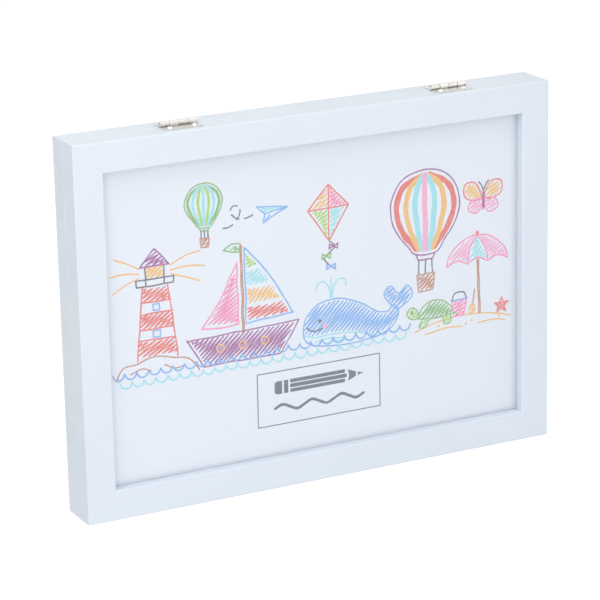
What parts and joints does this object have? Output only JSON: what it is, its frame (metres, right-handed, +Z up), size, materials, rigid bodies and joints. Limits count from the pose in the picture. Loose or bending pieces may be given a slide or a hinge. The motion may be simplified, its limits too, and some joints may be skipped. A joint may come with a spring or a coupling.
{
  "type": "picture frame",
  "caption": "Front-opening picture frame for an A4 drawing: a glazed door hinged along the top of a shallow storage box, with saw-tooth hangers on the back.",
  "frame": {"origin": "middle of the closed frame's footprint, on the surface that it stands on; the hangers that stand out of the back aren't counted", "axes": "+X along the frame towards the viewer's right, -Y out of the glazed front, +Z up"},
  "size_m": [0.33, 0.0332, 0.2437],
  "materials": {
    "white_paint": "fibreboard moulding, sprayed satin white",
    "clear_pane": "clear, polished",
    "drawing_paper": "smooth white paper",
    "grey_card": "uncoated grey board",
    "zinc_steel": "bright zinc plate",
    "nickel_plate": "bright nickel plate",
    "magnet_plate": "bright nickel plate over a sintered magnet",
    "elastic_band": "ribbed knitted elastic",
    "hardboard": "pressed hardboard, smooth side out"
  },
  "bodies": {
    "box": {"box_top_wall": "white_paint", "box_bottom_wall": "white_paint", "box_left_wall": "white_paint", "box_right_wall": "white_paint", "back_panel": "hardboard", "back_panel_brads": "zinc_steel", "box_corner_nails": "zinc_steel", "catch_magnets": "magnet_plate", "left_elastic_strap": "elastic_band", "right_elastic_strap": "elastic_band", "strap_staples": "zinc_steel", "left_hinge_box_leaf": "nickel_plate", "right_hinge_box_leaf": "nickel_plate", "left_hinge_pin": "nickel_plate", "right_hinge_pin": "nickel_plate", "left_hinge_box_screws": "nickel_plate", "right_hinge_box_screws": "nickel_plate", "landscape_hanger": "zinc_steel", "portrait_hanger": "zinc_steel"},
    "door": {"door_top_rail": "white_paint", "door_bottom_rail": "white_paint", "door_left_stile": "white_paint", "door_right_stile": "white_paint", "window_pane": "clear_pane", "artwork_sheet": "drawing_paper", "backing_card": "grey_card", "retaining_points": "zinc_steel", "door_corner_nails": "zinc_steel", "door_strike_discs": "zinc_steel", "left_hinge_door_leaf": "nickel_plate", "right_hinge_door_leaf": "nickel_plate", "left_hinge_door_screws": "nickel_plate", "right_hinge_door_screws": "nickel_plate"}
  },
  "joints": [
    {"name": "door_swing", "type": "hinge", "parent": "box", "child": "door", "pos_m": [0, -0.00055, 0.24195], "axis": [-1, 0, 0], "range_deg": [0, 175]}
  ]
}
